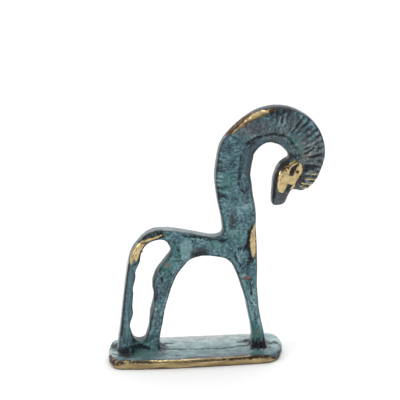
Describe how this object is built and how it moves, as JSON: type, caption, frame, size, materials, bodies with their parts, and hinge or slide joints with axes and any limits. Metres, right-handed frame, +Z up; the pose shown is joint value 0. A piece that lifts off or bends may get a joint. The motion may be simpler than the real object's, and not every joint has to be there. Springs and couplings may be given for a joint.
{
  "type": "horse statuette",
  "caption": "Cast bronze horse statuette in a stylised antique manner, with a high arched neck and ribbed mane, standing on its own flat plinth.",
  "frame": {"origin": "middle of the plinth's underside, below the plane that halves the horse from side to side", "axes": "+X the way the horse faces, +Z up, +Y towards the side away from the viewer, which is the horse's left side"},
  "size_m": [0.0987, 0.031, 0.1172],
  "materials": {
    "patinated_bronze": "blue-green patina over cast bronze, polished bare metal on the worn edges and round the plinth's side"
  },
  "bodies": {
    "root": {"horse_on_plinth": "patinated_bronze"}
  },
  "joints": []
}
